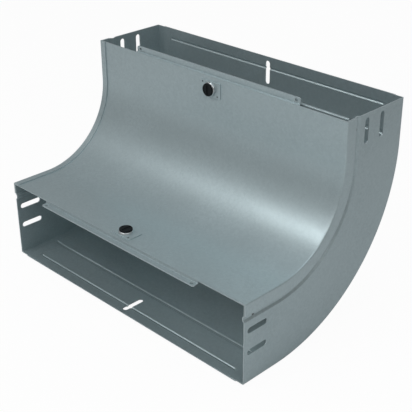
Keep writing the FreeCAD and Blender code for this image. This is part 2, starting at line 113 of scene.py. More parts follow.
class TrunkingBeadSizes(bpy.types.PropertyGroup):
    """Sizes of the beads pressed across the base sheet."""

    end_place: distance("From the mouth to the end bead", 0.01425)
    end_width: distance("Width of the end bead", 0.0044)
    end_depth: distance("Depth of the end bead", 0.001)
    end_reach: distance("Half the end bead's length", 0.1755)
    inner_place: distance("From the mouth to the inner bead", 0.0483)
    inner_width: distance("Width of the inner bead", 0.0062)
    inner_flank: distance("Width of the inner bead's flank", 0.0018)
    inner_depth: distance("Depth of the inner bead", 0.0012)


class TrunkingStripSizes(bpy.types.PropertyGroup):
    """Sizes of the stepped joint strips."""

    length: distance("Length across the duct", 0.266)
    step: distance("Drop of the tongue", 0.0024)
    step_low: distance("From the mouth out to the step's lower end", 0.0004)
    step_high: distance("From the mouth in to the step's upper end", 0.0005)
    step_bend_low: distance("Radius at the step's lower end", 0.0005)
    step_bend_high: distance("Radius at the step's upper end", 0.0014)
    reach: distance("How far the tongue stands out", 0.0074)
    root: distance("From the mouth to the inner edge", 0.027)
    corner: distance("Corner radius of the tongue", 0.003)
    hole: distance("Diameter of the strip's end holes", 0.004)
    hole_place: distance("Half the distance between the holes", 0.127)
    hole_edge: distance("From the tongue's edge to the hole", 0.0039)


class TrunkingLatchSizes(bpy.types.PropertyGroup):
    """Sizes of the quarter-turn latches and their keepers."""

    inset: distance("From the mouth to the latch's axis", 0.015)
    small_edge: distance("Softening of the small parts' edges", 0.0001)
    plate_corner: distance("Corner radius of the plate", 0.0016)
    plate_edge: distance("Rounding of the plate's upper edge", 0.0004)
    weld_across: distance("Weld mark's place across the plate", 0.012)
    weld_along: distance("Weld mark's place along the plate", 0.007)
    weld_radius: distance("Radius of a weld mark", 0.0011)
    weld_depth: distance("Depth of a weld mark", 0.0003)
    collar_edge: distance("Rounding of the collar's rim", 0.0018)
    neck_half: distance("Half the side of the collar's neck", 0.005)
    cap_inset: distance("How far the cap's rim stays inside the collar's", 0.0009)
    cap_edge: distance("Rounding of the cap's rim", 0.0007)
    cap_rim: distance("Width of the cap's raised rim", 0.0021)
    cap_dish: distance("Depth of the dish inside the rim", 0.0004)
    cap_slot_width: distance("Width of the cap's slot", 0.0024)
    cap_slot_length: distance("Length of the cap's slot", 0.012)
    cap_slot_depth: distance("Depth of the cap's slot", 0.0012)
    spindle_radius: distance("Radius of the spindle", 0.003)
    stud_radius: distance("Radius of the spindle's lower stud", 0.002)
    stud_tip: distance("Chamfer of the stud's end", 0.0003)
    cam_square: distance("Half the side of the cam's square hole", 0.00215)
    nut_chamfer: distance("Height of the cone at the nut's faces", 0.00035)
    nut_crown: FloatProperty(name="Cone's share of the nut's corners", default=0.93)
    keeper_fold: distance("Outside radius of the keeper's folds", 0.0016)
    keeper_lip: distance("Height of the keeper's rear lip", 0.008)
    keeper_brow: distance("Height of the top keeper's turned front edge", 0.0026)
    keeper_slot_width: distance("Width of the keeper's slot", 0.0075)
    keeper_slot_length: distance("Length of the keeper's slot", 0.024)
    rivet_hole: distance("Radius of the rivet's hole in the wall", 0.0018)
    rivet_bore: distance("Radius of the rivet's bore", 0.0012)
    rivet_head: distance("Height of the rivet's head", 0.0008)
    rivet_floor: distance("From the head to the bore's floor", 0.001)


class TrunkingColours(bpy.types.PropertyGroup):
    """Colours of the finishes."""

    zinc: colour("Galvanised sheet, matt blue-grey", "b1c0c3")
    zinc_dull: colour("Darker spangle grains and dull patches", "a5b4b8")
    zinc_pale: colour("Paler spangle grains", "bbc9cc")
    # Paler bare steel, and partly a painted highlight along the cut edges.
    cut_tone_and_highlight: colour("Edge of the sheet where it was cut", "b9c3c6")
    plated: colour("Nickel plating of the collar", "d2d6d7")
    clear_zinc: colour("Zinc plated small parts", "a3a8aa")
    weld: colour("Dull oxide where the zinc was burnt off", "7f888a")
    nylon: colour("Moulded caps", "0b0f11")
    floor: colour("Pale studio floor", "f4f4f4")


# Shape functions, worked out as whole arrays

def unit(vectors):
    """Each vector divided by its own length."""
    return vectors / np.linalg.norm(vectors, axis=-1, keepdims=True)


def rounded_path(corners, radii, steps=7):
    """An open path whose inner corners are arcs.

    An arc's centre lies on the bisector of its corner, at the radius over the sine of half the
    corner's angle. Its points are the arm to the centre turned evenly between the two tangents.
    """
    corners = np.asarray(corners, float)
    radii = np.asarray(radii, float)[:, None]
    middle = corners[1:-1]
    back = unit(corners[:-2] - middle)
    ahead = unit(corners[2:] - middle)
    half = np.arccos(np.clip((back * ahead).sum(1), -1, 1))[:, None] / 2
    centre = middle + unit(back + ahead) * radii / np.sin(half)
    first = middle + back * radii / np.tan(half) - centre
    last = middle + ahead * radii / np.tan(half) - centre
    start = np.arctan2(first[:, 1], first[:, 0])
    turn = np.arctan2(last[:, 1], last[:, 0]) - start
    turn = (turn + np.pi) % (2 * np.pi) - np.pi
    angle = start[:, None] + turn[:, None] * np.linspace(0, 1, steps)
    arcs = centre[:, None] + radii[:, None] * np.stack([np.cos(angle), np.sin(angle)], 2)
    return np.vstack([corners[:1], arcs.reshape(-1, 2), corners[-1:]])


def carry_round(across, height, station):
    """Points of the duct's run: straight, quarter turn, straight.

    A station from 0 to 1 is on the front straight, 1 to 2 on the quarter turn and 2 to 3 on the
    top straight. A point at a height above the base lies at that much less than the base's
    radius from the turn's axis.
    """
    front = np.clip(station, 0, 1) * STRAIGHT
    top = np.clip(station - 2, 0, 1) * STRAIGHT
    angle = np.clip(station - 1, 0, 1) * np.pi / 2
    radius = ARC_HEIGHT - height
    along = front + radius * np.sin(angle)
    up = ARC_HEIGHT - radius * np.cos(angle) + top
    across, along, up = np.broadcast_arrays(across, along, up)
    return np.stack([across, along, up], -1)


def run_stations(turn_steps=64, beads=()):
    """Stations along the run, with extra rows where beads cross it at both ends."""
    turn = np.linspace(1, 2, turn_steps + 1)
    coarse = np.linspace(0, 1, 9)
    ends = []
    for place, width in beads:
        coarse = coarse[np.abs(coarse * STRAIGHT - place) > width * 0.6]
        ends.append((place + np.linspace(-0.5, 0.5, 25) * width) / STRAIGHT)
    ends.append(coarse)
    ends = np.unique(np.concatenate(ends).round(6))
    return np.unique(np.concatenate([ends, turn, 3 - ends]).round(6))


def to_top(points):
    """The front end's points given half a turn about the bend's diagonal, to the top end."""
    x, y, z = np.moveaxis(np.asarray(points, float), -1, 0)
    return np.stack([-x, REACH - z, REACH - y], -1)


# The two mouths, each with the move that takes the front end's points there
ENDS = (("front", np.asarray), ("top", to_top))


def ring(radius, count=72, sides=0, run=0.0, first=0.0):
    """One closed outline round the axis.

    With no sides it is a circle. With sides its radius is the flat's distance over the cosine
    of the angle from the nearest flat's middle, the first of which lies at the angle given. A
    run pulls the halves apart along y, which makes a round-ended bar.
    """
    angle = np.arange(count) * 2 * np.pi / count
    reach = np.full(count, float(radius))
    if sides:
        sector = 2 * np.pi / sides
        from_flat = (angle - first + sector / 2) % sector - sector / 2
        reach = radius / np.cos(from_flat)
    x, y = reach * np.cos(angle), reach * np.sin(angle)
    return np.stack([x, y + run * np.sign(np.round(y, 9))], 1)


def plate_ring(half_x, half_y, corner, steps=9):
    """A rectangle outline with round corners: a quarter circle carried to each corner."""
    quarter = np.linspace(0, np.pi / 2, steps)
    angle = (np.arange(4)[:, None] * np.pi / 2 + quarter).ravel()
    sign_x = np.repeat([1, -1, -1, 1], steps)
    sign_y = np.repeat([1, 1, -1, -1], steps)
    x = sign_x * (half_x - corner) + corner * np.cos(angle)
    y = sign_y * (half_y - corner) + corner * np.sin(angle)
    return np.stack([x, y], 1)


def stack_rings(rings, heights):
    """Outlines set one above another: points[level, place] = x, y of the ring and its height."""
    rings = np.asarray(rings, float)
    level = np.broadcast_to(np.asarray(heights, float)[:, None], rings.shape[:2])
    return np.concatenate([rings, level[..., None]], 2)


def turned(profile, count=72):
    """A half section of radius and height turned about the axis: circles at each height."""
    profile = np.asarray(profile, float)
    rings = profile[:, :1, None] * ring(1.0, count)[None]
    return stack_rings(rings, profile[:, 1])


def washer(hole, rim, low, high):
    """A flat part: rings out along the underside, up the rim, in on top and down the hole."""
    return stack_rings(
        [hole, rim, rim, hole, hole], [low.z, low.z, high.z, high.z, low.z])


def edge_arc(radius, height, size, towards, steps=6):
    """Points of a rounded rim, from its side face to its flat face, above or below."""
    angle = np.linspace(0, np.pi / 2, steps)
    out = radius - size + size * np.cos(angle)
    up = height + towards * (size * np.sin(angle) - size)
    return np.stack([out, up], 1)


# Meshes and finishing

def grid_faces(rows, columns, close_columns):
    """Four-sided faces between neighbouring points of a grid, closed round where asked."""
    number = np.arange(rows * columns).reshape(rows, columns)
    if close_columns:
        number = np.hstack([number, number[:, :1]])
    corners = [number[:-1, :-1], number[1:, :-1], number[1:, 1:], number[:-1, 1:]]
    return np.stack(corners, 2).reshape(-1, 4)


def make_mesh(name, points, close_columns=False, flip=False, keep=None, edge=None):
    """A mesh from a grid of points; keep says which faces stay, edge which are cut edges."""
    faces = grid_faces(*points.shape[:2], close_columns)
    if keep is not None:
        faces = faces[np.asarray(keep).ravel()]
    if flip:
        faces = faces[:, ::-1]
    mesh = bpy.data.meshes.new(name)
    mesh.from_pydata(points.reshape(-1, 3).tolist(), [], faces.tolist())
    if edge is not None:
        mesh.polygons.foreach_set("material_index", np.asarray(edge, np.int32).ravel())
    weld(mesh)
    return mesh


def weld(mesh):
    """Join points that fall together, as at a pole, and drop points with no face."""
    shape = bmesh.new()
    shape.from_mesh(mesh)
    loose = [point for point in shape.verts if not point.link_faces]
    bmesh.ops.delete(shape, geom=loose, context="VERTS")
    bmesh.ops.remove_doubles(shape, verts=shape.verts, dist=1e-7)
    shape.to_mesh(mesh)
    shape.free()


def new_object(mesh, materials):
    """A linked object of the mesh's name, with its materials in order."""
    for material in materials:
        mesh.materials.append(material)
    piece = bpy.data.objects.new(mesh.name, mesh)
    bpy.context.scene.collection.objects.link(piece)
    return piece


def bar(outline, axis, low, high):
    """A straight cutter: an outline carried from low to high along one axis, with closed ends.

    It comes with a note of whether its faces have to be turned over, which is so along y.
    """
    centre = np.broadcast_to(outline.mean(0), outline.shape)
    rings = [centre, outline, outline, centre]
    points = stack_rings(rings, [low, low, high, high])
    order = {"x": [2, 0, 1], "y": [0, 2, 1], "z": [0, 1, 2]}[axis]
    return points[..., order], axis == "y"


def cut_out(piece, cutters):
    """Subtract the cutters from a piece; their faces take the last material, the cut edge."""
    tools = []
    materials = list(piece.data.materials)
    for number, (points, flip) in enumerate(cutters):
        mesh = make_mesh("cutter", points, close_columns=True, flip=not flip)
        tool = new_object(mesh, materials)
        index = np.full(len(mesh.polygons), len(materials) - 1, np.int32)
        mesh.polygons.foreach_set("material_index", index)
        step = piece.modifiers.new("cut_%d" % number, "BOOLEAN")
        step.operation = "DIFFERENCE"
        step.solver = "EXACT"
        step.object = tool
        tools.append(tool)
    return tools


def soften(piece, width, sharpest):
    """Break the piece's sharp edges, as tumbling or handling does."""
    step = piece.modifiers.new("soft_edges", "BEVEL")
    step.width = width
    step.segments = 2
    step.limit_method = "ANGLE"
    step.angle_limit = math.radians(sharpest)
    step.use_clamp_overlap = True
    step.miter_outer = "MITER_SHARP"


def set_modifiers(piece, tools):
    """Replace the piece's mesh by its finished shape and shade it smooth up to its edges."""
    bpy.context.view_layer.update()
    graph = bpy.context.evaluated_depsgraph_get()
    mesh = bpy.data.meshes.new_from_object(piece.evaluated_get(graph))
    piece.modifiers.clear()
    piece.data = mesh
    mesh.name = piece.name
    for tool in tools:
        bpy.data.objects.remove(tool)
    mesh.polygons.foreach_set("use_smooth", np.ones(len(mesh.polygons), bool))
    mesh.set_sharp_from_angle(angle=math.radians(35))
    flatten = piece.modifiers.new("even_shading", "WEIGHTED_NORMAL")
    flatten.keep_sharp = True
    flatten.weight = 80


def finish_piece(piece, cutters, edge, sharpest):
    """Cut the holes, break the sharp edges and keep the shape that comes out."""
    tools = cut_out(piece, cutters)
    if edge:
        soften(piece, edge, sharpest)
    set_modifiers(piece, tools)
    return piece


def install(piece, body, slot_name, *nodes):
    """Let the piece ride on its body and stand for its nodes."""
    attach(piece, body)
    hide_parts(*nodes)


def sheet_piece(mesh, sizes, coat, cutters=(), edge=None):
    """A sheet of one gauge grown from its outer face, with holes cut and edges softened."""
    piece = new_object(mesh, sheet_materials(coat))
    thicken = piece.modifiers.new("gauge", "SOLIDIFY")
    thicken.thickness = sizes.gauge
    thicken.offset = -1
    thicken.use_even_offset = True
    thicken.material_offset_rim = 1
    return finish_piece(piece, cutters, edge or sizes.edge_break, sharpest=50)


def solid_piece(name, points, finishes, cutters=(), edge=0.0):
    """A closed body made of rings, with cuts and softened edges where asked."""
    mesh = make_mesh(name, points, close_columns=True, flip=True)
    piece = new_object(mesh, [finish_of(finish) for finish in finishes])
    return finish_piece(piece, cutters, edge, sharpest=40)


def latch_pair(node, word, points, finishes, slot_name, turns=False, cutters=(), edge=0.0):
    """The same latch part at both mouths, on the cover or turning with its latch.

    Its points stand round the origin's upright axis; they and its cutters are set on the
    latch's axis at the front and given half a turn to the top.
    """
    axis = [0, bpy.context.scene.trunking_latches.inset, 0]
    for end, move in ENDS:
        cuts = [(move(shape + axis), flip) for shape, flip in cutters]
        name = "%s_%s_%s" % (node, end, word)
        piece = solid_piece(name, move(points + axis), finishes, cuts, edge)
        install(piece, end + "_latch" if turns else "bend", slot_name, node + "_" + end)


def side_meshes(node, section, stations):
    """A folded section carried round the run, with its side, -1 or 1, and its node."""
    for side, word in ((-1, "left"), (1, "right")):
        points = carry_round(section[:, 0] * side, section[:, 1], stations[:, None])
        name = "%s_%s_folded" % (node, word)
        yield make_mesh(name, points, flip=side < 0), side, node + "_" + word


def read_points(mesh):
    """The x, y and z of all of a mesh's points."""
    points = np.zeros(len(mesh.vertices) * 3)
    mesh.vertices.foreach_get("co", points)
    return points.reshape(-1, 3).T


def write_points(mesh, x, y, z):
    """Put a mesh's points at the given x, y and z."""
    mesh.vertices.foreach_set("co", np.stack([x, y, z], 1).ravel())
    mesh.update()


# Materials

def add(tree, kind, settings=None, links=None):
    """Add a node, set its sockets or properties by name and link its inputs from others."""
    node = tree.nodes.new("ShaderNode" + kind)
    for name, value in (settings or {}).items():
        if isinstance(name, int) or name in node.inputs:
            node.inputs[name].default_value = value
        else:
            setattr(node, name, value)
    for name, source in (links or {}).items():
        tree.links.new(source, node.inputs[name])
    return node


def blank_material(name):
    """A node material with only its output, and coordinates that go with the piece."""
    material = bpy.data.materials.new(name)
    material.use_nodes = True
    tree = material.node_tree
    tree.nodes.clear()
    add(tree, "OutputMaterial")
    place = add(tree, "TexCoord").outputs["Object"]
    return material, tree, place


def show(tree, shader):
    """Link a shader to the tree's output, whether of a material or of the world."""
    output = next(node for node in tree.nodes if node.bl_idname.startswith("ShaderNodeOutput"))
    tree.links.new(shader.outputs[0], output.inputs["Surface"])


def noise(tree, place, scale, detail, roughness=0.5):
    """Cloudy noise from 0 to 1."""
    settings = {"Scale": scale, "Detail": detail, "Roughness": roughness}
    return add(tree, "TexNoise", settings, {"Vector": place}).outputs["Fac"]


def mapped(tree, value, low, high, start=0.0, end=1.0):
    """A value carried in proportion from the range start to end into the range low to high."""
    settings = {"From Min": start, "From Max": end, "To Min": low, "To Max": high}
    return add(tree, "MapRange", settings, {"Value": value}).outputs[0]


def weighted(tree, value, weight, other):
    """A value times its weight, plus another value."""
    settings = {"operation": "MULTIPLY_ADD", 1: weight}
    return add(tree, "Math", settings, {0: value, 2: other}).outputs[0]


def blend(tree, share, first, second):
    """Two colours mixed by the share of the second."""
    settings = {"data_type": "RGBA", 6: first, 7: second}
    return add(tree, "Mix", settings, {0: share}).outputs[2]


def relief(tree, height, strength, depth):
    """Normals of a fine relief."""
    settings = {"Strength": strength, "Distance": depth}
    return add(tree, "Bump", settings, {"Height": height}).outputs[0]


def times(tint, share):
    """A colour, darker or paler by a share, and opaque."""
    return [part * share for part in tint[:3]] + [1.0]


def zinc_coated(tree, place, colours, shade=1.0):
    """Continuously galvanised steel with minimised spangle, skin-passed.

    Grains of 2 to 3 mm differ a little in tone and sheen, and a fine sandy grain of the skin
    pass lies over them. Handling leaves cloudy dull patches of 60 to 100 mm. It gives the eye
    a matt blue-grey metal with a broad soft highlight and a faint mottle.
    """
    # A shade above one gives a paler copy of the same coat: painted light, not a different coat.
    spangle = add(tree, "TexVoronoi", {"Scale": 400.0}, {"Vector": place})
    grain = add(tree, "SeparateColor", None, {"Color": spangle.outputs["Color"]})
    sand = noise(tree, place, 900.0, 3.0, 0.6)
    cloud = noise(tree, place, 12.0, 3.0, 0.55)
    mottle = weighted(tree, grain.outputs["Red"], 0.5, sand)
    mottle = mapped(tree, mottle, 0.0, 1.0, 0.35, 1.15)
    tone = blend(
        tree, mottle, times(colours.zinc_dull, shade), times(colours.zinc_pale, shade))
    veil = add(
        tree, "Mix", {"data_type": "RGBA", 6: times(colours.zinc, shade)}, {0: cloud, 7: tone})
    sheen = mapped(tree, cloud, 0.34, 0.42, 0.3, 0.7)
    sheen = weighted(tree, grain.outputs["Green"], 0.06, sheen)
    return add(
        tree, "BsdfPrincipled", {"Metallic": 0.6},
        {"Base Color": veil.outputs[2], "Roughness": sheen,
         "Normal": relief(tree, sand, 0.12, 0.00005)})


def cut_edge_and_highlight(tree, place, colours):
    """Edge of the sheet where it was cut: bare, paler steel with short shear marks across it,
    made paler still as a painted highlight along the edges.
    """
    marks = noise(tree, place, 700.0, 2.0)
    tone = blend(tree, marks, times(colours.zinc, 1), times(colours.cut_tone_and_highlight, 1))
    return add(
        tree, "BsdfPrincipled", {"Metallic": 0.6, "Roughness": 0.42}, {"Base Color": tone})


def plated_metal(tree, place, tint, roughness, scale):
    """Plated steel: an even bright coat, a little duller in small cloudy patches."""
    patches = noise(tree, place, scale, 3.0)
    return add(
        tree, "BsdfPrincipled", {"Metallic": 1.0},
        {"Base Color": blend(tree, patches, times(tint, 0.82), times(tint, 1)),
         "Roughness": mapped(tree, patches, roughness, roughness + 0.12)})


def moulded_nylon(tree, place, colours):
    """Black glass-filled nylon, moulded: satin, with the fine spark-eroded grain of the tool."""
    grain = noise(tree, place, 1800.0, 2.0)
    return add(
        tree, "BsdfPrincipled", {"IOR": 1.53, "Specular IOR Level": 0.2},
        {"Base Color": blend(tree, grain, times(colours.nylon, 1), times(colours.nylon, 1.9)),
         "Roughness": mapped(tree, grain, 0.5, 0.62),
         "Normal": relief(tree, grain, 0.2, 0.00004)})


def finish_of(name):
    """The finish of that name, made once and shared by every piece that has it."""
    if name in bpy.data.materials:
        return bpy.data.materials[name]
    tones = bpy.context.scene.trunking_colours
    maker, *looks = {
        "zinc_coated_sheet": (zinc_coated, tones),
        # The cover's coat is the sheet's coat painted 5 percent paler: painted light for its
        # more lit faces.
        "zinc_coated_cover": (zinc_coated, tones, 1.05),
        "cut_steel_edge_and_highlight": (cut_edge_and_highlight, tones),
        "bright_nickel_plate": (plated_metal, tones.plated, 0.32, 220.0),
        "clear_zinc_plate": (plated_metal, tones.clear_zinc, 0.34, 300.0),
        "burnt_weld_mark": (plated_metal, tones.weld, 0.55, 600.0),
        "satin_black_nylon": (moulded_nylon, tones),
    }[name]
    material, tree, place = blank_material(name)
    show(tree, maker(tree, place, *looks))
    return material


def sheet_materials(coat):
    """A sheet's zinc coat, for the base sheet and walls or for the cover, whose copy is painted
    paler as painted light, and its cut edge, whose paler tone is partly a painted highlight.
    """
    return [finish_of("zinc_coated_" + coat), finish_of("cut_steel_edge_and_highlight")]


# Holes shared by several pieces

def slot_outline(along, across, length, width, steps=12):
    """A round-ended slot's outline: two half circles, their centres the slot's run apart."""
    angle = np.linspace(-np.pi / 2, np.pi / 2, steps)
    run = (length - width) / 2
    half = width / 2
    right = np.stack([run + half * np.cos(angle), half * np.sin(angle)], 1)
    return np.vstack([right, -right]) + [along, across]


def both_ends(points, flip):
    """A cutter at the front mouth and the same one half a turn on, at the top mouth."""
    return [(points, flip), (to_top(points), flip)]


def neck_hole(latches, low, high):
    """A square cutter on the latch's axis, for the collar's neck."""
    outline = ring(latches.neck_half + FIT_GAP, 8, 4) + [0, latches.inset]
    return bar(outline, "z", low - THROUGH, high + THROUGH)


def inner_bead(beads, from_mouth):
    """Depth of the trough across the floor: flat in the middle, flanks a squared cosine."""
    flat = beads.inner_width / 2 - beads.inner_flank
    away = (np.abs(from_mouth - beads.inner_place) - flat) / beads.inner_flank
    return beads.inner_depth * np.cos(np.clip(away, 0, 1) * np.pi / 2) ** 2


# Operators, one for each piece or group of like pieces

class TRUNKING_OT_base(bpy.types.Operator):
    """Bent base sheet with two pressed beads and a coupling slot at each end"""

    bl_idname = "trunking.base"
    bl_label = "Base sheet"

    def execute(self, context):
        sizes = context.scene.trunking_sheets
        beads = context.scene.trunking_beads
        half = HALF_WIDTH - sizes.base_margin
        stations = run_stations(64, (
            (beads.end_place, beads.end_width), (beads.inner_place, beads.inner_width)))
        near_end = beads.end_reach + np.linspace(-1.2, 0.2, 9) * beads.end_width
        across = np.linspace(0, half, 17)
        clear = np.abs(across - beads.end_reach + beads.end_width / 2) > beads.end_width
        across = np.concatenate([across[clear], near_end])
        across = np.unique(np.concatenate([-across, across]).round(6))
        from_mouth = np.minimum(stations, 3 - stations)[:, None] * STRAIGHT
        depth = self.end_bead(beads, across, from_mouth)
        depth += inner_bead(beads, from_mouth)
        points, edge = self.shell(across, depth, stations, sizes.gauge)
        lying = slot_outline(0, 0, sizes.slot_length, sizes.slot_width)
        along_run = lying[:, ::-1] * [-1, 1] + [0, sizes.slot_inset + sizes.slot_length / 2]
        cutters = both_ends(*bar(along_run, "z", -THROUGH, THROUGH))
        mesh = make_mesh("base_sheet_pressed", points, close_columns=True, edge=edge)
        piece = new_object(mesh, sheet_materials("sheet"))
        finish_piece(piece, cutters, sizes.edge_break, sharpest=50)
        install(piece, "bend", "galvanised_sheet", "base_sheet")
        return {"FINISHED"}

    def shell(self, across, depth, stations, gauge):
        """The sheet's loop across the duct at every station, and which faces are cut edges.

        The loop goes over the underside and back over the upper side, both let down by the
        beads' depth. A slightly narrower row at half the gauge closes each mouth end.
        """
        height = np.hstack([-depth, gauge - depth[:, ::-1]])
        middle = gauge / 2 - depth
        middle = np.hstack([middle, middle[:, ::-1]])
        height = np.vstack([middle[:1], height, middle[-1:]])
        stations = np.concatenate([stations[:1], stations, stations[-1:]])
        loop = np.tile(np.concatenate([across, across[::-1]]), (len(stations), 1))
        loop[[0, -1]] *= 0.98
        points = carry_round(loop, height, stations[:, None])
        edge = np.zeros((len(stations) - 1, loop.shape[1]), bool)
        edge[[0, -1]] = True
        edge[:, [len(across) - 1, -1]] = True
        return points, edge

    def end_bead(self, beads, across, from_mouth):
        """A round-ended trough whose depth falls as the squared cosine from its line."""
        beyond = np.maximum(np.abs(across) - beads.end_reach + beads.end_width / 2, 0)
        away = np.hypot(beyond, from_mouth - beads.end_place) / (beads.end_width / 2)
        return beads.end_depth * np.cos(np.clip(away, 0, 1) * np.pi / 2) ** 2


class TRUNKING_OT_walls(bpy.types.Operator):
    """Side walls: foot, upright face with a pressed groove, coupling slots"""

    bl_idname = "trunking.walls"
    bl_label = "Side walls"

    def execute(self, context):
        sizes = context.scene.trunking_sheets
        low = sizes.gauge
        floor = HALF_WIDTH - sizes.groove_depth
        slope = sizes.groove_depth
        corners = [
            (HALF_WIDTH - sizes.wall_foot, low), (HALF_WIDTH, low),
            (HALF_WIDTH, sizes.groove_low), (floor, sizes.groove_low + slope),
            (floor, sizes.groove_high - slope), (HALF_WIDTH, sizes.groove_high),
            (HALF_WIDTH, WALL_TOP)]
        bend = sizes.fold_radius
        radii = [bend, bend, bend / 2, bend / 2, bend]
        section = rounded_path(corners, radii)
        foot = HALF_WIDTH - sizes.base_margin + np.linspace(0, sizes.foot_fade, 6)
        foot = np.stack([foot, np.full(6, low)], 1)
        section = np.vstack([section[:1], foot, section[1:]])
        beads = context.scene.trunking_beads
        stations = run_stations(72, ((beads.inner_place, beads.inner_width),))
        for mesh, side, node in side_meshes("side_wall", section, stations):
            piece = sheet_piece(mesh, sizes, "sheet", self.holes(context, side))
            self.dress_foot(piece.data, sizes)
            self.press_foot(piece.data, sizes, beads)
            install(piece, "bend", "galvanised_sheet", node)
        return {"FINISHED"}

    def dress_foot(self, mesh, sizes):
        """Flatten the foot's edge onto the base, so that no step shows on the duct's floor.

        A point's height over the foot's underside is shared down by its way from the base's
        edge to the foot's own edge, to an eighth of the gauge there.
        """
        x, y, z = read_points(mesh)
        way = (HALF_WIDTH - sizes.base_margin - np.abs(x)) / (
            sizes.wall_foot - sizes.base_margin)
        share = 0.875 * np.clip(way, 0, 1)
        past_front = np.maximum(y - STRAIGHT, 0)
        below_top = np.maximum(ARC_HEIGHT - z, 0)
        radius = np.hypot(past_front, below_top)
        radius = np.where(z > ARC_HEIGHT, past_front, radius)
        radius = np.where(y < STRAIGHT, below_top, radius)
        height = ARC_HEIGHT - radius - sizes.gauge
        on_foot = (height > 0) & (height < sizes.gauge * 1.5)
        scale = (radius + height * share * on_foot) / np.maximum(radius, 1e-9)
        y = np.where(past_front > 0, STRAIGHT + past_front * scale, y)
        z = np.where(below_top > 0, ARC_HEIGHT - below_top * scale, z)
        write_points(mesh, x, y, z)

    def press_foot(self, mesh, sizes, beads):
        """Carry the base's inner beads on across the foot, which lies on the base there.

        The foot's points go down by the bead's depth at their distance from the mouth, and
        from the base's edge outwards that fades as a straight slope.
        """
        x, y, z = read_points(mesh)
        beyond = (np.abs(x) - HALF_WIDTH + sizes.base_margin) / sizes.foot_fade
        share = 1 - np.clip(beyond, 0, 1)
        low = sizes.gauge * 2.5
        at_front = (z < low) & (y < STRAIGHT)
        at_top = (y > REACH - low) & (z > REACH - STRAIGHT)
        z = z - inner_bead(beads, y) * share * at_front
        y = y + inner_bead(beads, REACH - z) * share * at_top
        write_points(mesh, x, y, z)

    def holes(self, context, side):
        """Two coupling slots at each mouth, and the keepers' rivet holes on the right wall."""
        sizes = context.scene.trunking_sheets
        latches = context.scene.trunking_latches
        middle = sizes.slot_inset + sizes.slot_length / 2
        outlines = [
            slot_outline(middle, height, sizes.slot_length, sizes.slot_width)
            for height in (sizes.slot_low, sizes.slot_high)]
        if side > 0:
            groove = (sizes.groove_low + sizes.groove_high) / 2
            outlines.append(ring(latches.rivet_hole, 32) + [latches.inset, groove])
        outlines += [REACH - outline[::-1, ::-1] for outline in outlines]
        faces = sorted([(HALF_WIDTH - THROUGH) * side, (HALF_WIDTH + THROUGH) * side])
        return [bar(outline, "x", *faces) for outline in outlines]


class TRUNKING_OT_cover(bpy.types.Operator):
    """Cover sheet rolled to the inside radius"""

    bl_idname = "trunking.cover"
    bl_label = "Cover sheet"

    def execute(self, context):
        sizes = context.scene.trunking_sheets
        latches = context.scene.trunking_latches
        across = np.linspace(HALF_WIDTH, -HALF_WIDTH, 25)
        height = WALL_TOP + sizes.gauge
        points = carry_round(across, height, run_stations(72)[:, None])
        cutters = both_ends(*neck_hole(latches, WALL_TOP, height))
        mesh = make_mesh("cover_sheet_rolled", points)
        piece = sheet_piece(mesh, sizes, "cover", cutters, sizes.cover_edge)
        install(piece, "bend", "galvanised_cover", "cover_sheet")
        return {"FINISHED"}


class TRUNKING_OT_rims(bpy.types.Operator):
    """Folded rim angles along both sides of the cover"""

    bl_idname = "trunking.rims"
    bl_label = "Cover rims"

    def execute(self, context):
        sizes = context.scene.trunking_sheets
        outer = HALF_WIDTH + sizes.rim_clearance + sizes.gauge
        corners = [
            (outer, RIM_TOP - sizes.rim_drop), (outer, RIM_TOP),
            (HALF_WIDTH - sizes.rim_lap, RIM_TOP)]
        section = rounded_path(corners, [sizes.fold_radius], 9)
        for mesh, _, node in side_meshes("cover_rim", section, run_stations(72)):
            piece = sheet_piece(mesh, sizes, "cover")
            install(piece, "bend", "galvanised_cover", node)
        return {"FINISHED"}


class TRUNKING_OT_strips(bpy.types.Operator):
    """Stepped joint strips under both ends of the cover"""

    bl_idname = "trunking.strips"
    bl_label = "Joint strips"

    def execute(self, context):
        sheets = context.scene.trunking_sheets
        sizes = context.scene.trunking_strips
        latches = context.scene.trunking_latches
        points = self.surface(sizes)
        tongue = WALL_TOP - sizes.step
        holes = [neck_hole(latches, WALL_TOP, WALL_TOP)]
        for x in (-sizes.hole_place, sizes.hole_place):
            hole = ring(sizes.hole / 2, 32) + [x, sizes.hole_edge - sizes.reach]
            holes.append(bar(hole, "z", tongue - THROUGH, tongue + THROUGH))
        for end, move in ENDS:
            mesh = make_mesh("joint_strip_%s_stepped" % end, move(points))
            cutters = [(move(shape), flip) for shape, flip in holes]
            piece = sheet_piece(mesh, sheets, "cover", cutters)
            install(piece, "bend", "galvanised_cover", "joint_strip_" + end)
        return {"FINISHED"}

    def surface(self, sizes):
        """The strip's upper face: a stepped path carried across the duct.

        Near the tongue's edge the half length is less by the corner's radius minus the root of
        that radius squared less the squared distance from the corner's inner end.
        """
        low = WALL_TOP - sizes.step
        corners = [
            (-sizes.reach, low), (-sizes.step_low, low), (sizes.step_high, WALL_TOP),
            (sizes.root, WALL_TOP)]
        path = rounded_path(corners, [sizes.step_bend_low, sizes.step_bend_high], 6)
        corner = sizes.corner * (1 - np.cos(np.linspace(0, np.pi / 2, 10)))
        tongue = np.stack([-sizes.reach + corner, np.full(10, low)], 1)
        path = np.vstack([tongue, path[1:]])
        inside = np.clip(sizes.corner - (path[:, 0] + sizes.reach), 0, sizes.corner)
        shorter = sizes.corner - np.sqrt(sizes.corner ** 2 - inside ** 2)
        half = sizes.length / 2 - shorter
        across = half[:, None] * np.linspace(1, -1, 24)
        along, up = np.broadcast_arrays(path[:, :1], across)[0], path[:, 1:]
        return np.stack([across, along, np.broadcast_to(up, across.shape)], 2)


